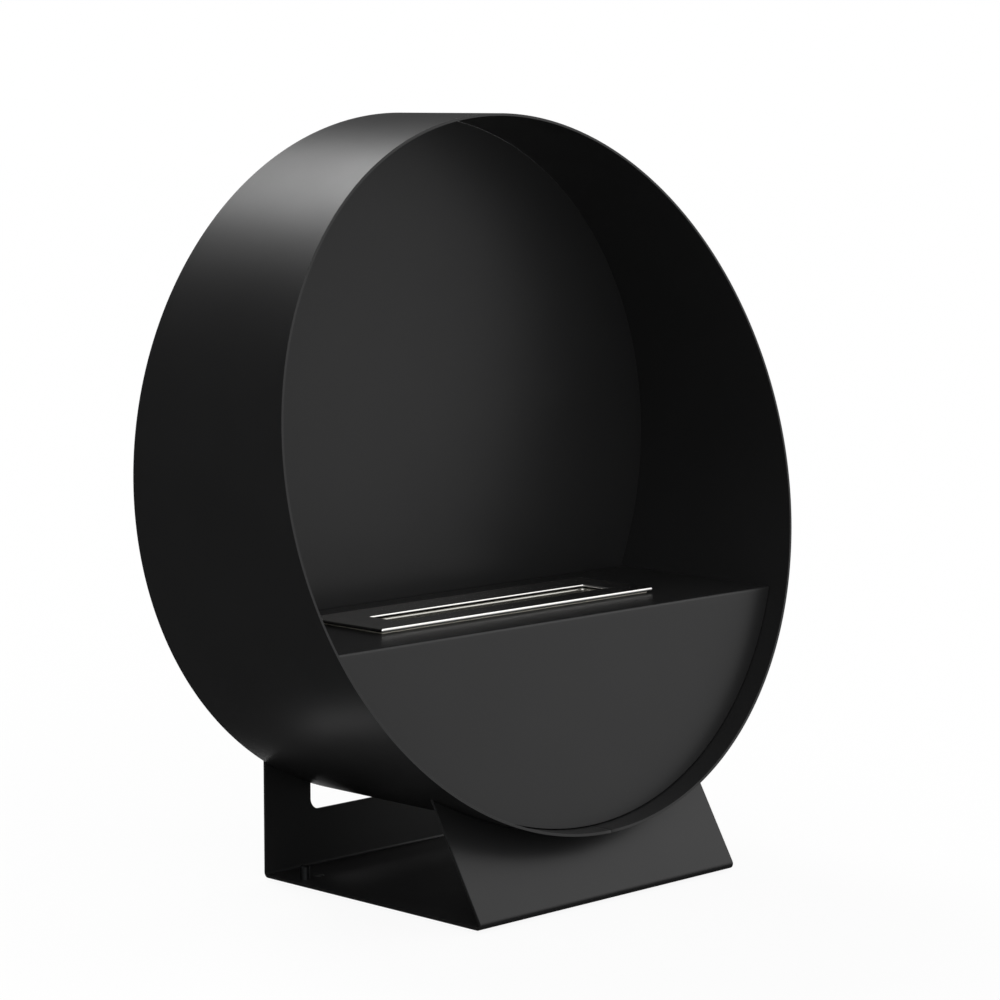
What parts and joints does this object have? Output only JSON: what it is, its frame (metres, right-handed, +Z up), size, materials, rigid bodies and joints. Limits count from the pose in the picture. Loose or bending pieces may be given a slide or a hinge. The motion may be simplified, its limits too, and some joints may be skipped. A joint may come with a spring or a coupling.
{
  "type": "bioethanol fireplace",
  "caption": "Free-standing round bioethanol fireplace: a black steel drum with a slanted mouth, a shelf with a lift-out burner, and a folded sheet stand on levelling feet.",
  "frame": {"origin": "on the floor, under the middle of the object's width and depth", "axes": "+X to the right seen from the front, +Y to the back, +Z up; the drum's axis runs along Y and its slanted mouth faces -Y"},
  "size_m": [0.8, 0.3596, 0.8794],
  "materials": {
    "black_coat": "satin black powder coat",
    "stainless": "brushed stainless steel",
    "zinc": "bright zinc plate",
    "black_zinc": "black zinc plate",
    "black_plastic": "moulded black plastic",
    "glass_fibre": "woven glass-fibre strip",
    "ceramic": "ceramic-fibre felt"
  },
  "bodies": {
    "housing": {"drum_shell": "black_coat", "back_panel": "black_coat", "back_tab_1": "black_coat", "back_tab_2": "black_coat", "back_tab_3": "black_coat", "back_tab_4": "black_coat", "back_tab_5": "black_coat", "back_tab_6": "black_coat", "back_tab_nut_1": "zinc", "back_tab_nut_2": "zinc", "back_tab_nut_3": "zinc", "back_tab_nut_4": "zinc", "back_tab_nut_5": "zinc", "back_tab_nut_6": "zinc", "hearth_sheet": "black_coat", "shelf_support_left": "black_coat", "shelf_support_right": "black_coat", "shelf_nut_left_front": "zinc", "shelf_nut_left_rear": "zinc", "shelf_nut_right_front": "zinc", "shelf_nut_right_rear": "zinc", "panel_tab_left": "black_coat", "panel_tab_right": "black_coat", "panel_nut_left": "zinc", "panel_nut_right": "zinc", "stand_frame": "black_coat", "front_saddle_left": "black_coat", "front_saddle_right": "black_coat", "saddle_bolt_left": "zinc", "saddle_bolt_right": "zinc", "saddle_nut_left": "zinc", "saddle_nut_right": "zinc", "rear_tab_left": "black_coat", "rear_tab_right": "black_coat", "rear_spacer_left": "zinc", "rear_spacer_right": "zinc", "rear_bolt_left": "zinc", "rear_bolt_right": "zinc", "rear_nut_left": "zinc", "rear_nut_right": "zinc", "base_plug_front_left": "black_plastic", "base_plug_front_right": "black_plastic", "base_plug_rear_left": "black_plastic", "base_plug_rear_right": "black_plastic"},
    "burner": {"burner_top_plate": "stainless", "burner_gasket": "glass_fibre", "burner_box": "stainless", "fuel_tank": "stainless", "ceramic_pad": "ceramic", "tank_grate": "stainless"},
    "front_left_foot": {"foot_front_left": "black_zinc"},
    "front_right_foot": {"foot_front_right": "black_zinc"},
    "rear_left_foot": {"foot_rear_left": "black_zinc"},
    "rear_right_foot": {"foot_rear_right": "black_zinc"}
  },
  "joints": [
    {"name": "burner_lift", "type": "slide", "parent": "housing", "child": "burner", "axis": [0, 0, 1], "range_m": [0, 0.12]},
    {"name": "front_left_foot_turn", "type": "hinge", "parent": "housing", "child": "front_left_foot", "pos_m": [-0.15, -0.13645, 0], "axis": [0, 0, 1], "continuous": true},
    {"name": "front_right_foot_turn", "type": "hinge", "parent": "housing", "child": "front_right_foot", "pos_m": [0.15, -0.13645, 0], "axis": [0, 0, 1], "continuous": true},
    {"name": "rear_left_foot_turn", "type": "hinge", "parent": "housing", "child": "rear_left_foot", "pos_m": [-0.187, 0.12751, 0], "axis": [0, 0, 1], "continuous": true},
    {"name": "rear_right_foot_turn", "type": "hinge", "parent": "housing", "child": "rear_right_foot", "pos_m": [0.187, 0.12751, 0], "axis": [0, 0, 1], "continuous": true}
  ]
}
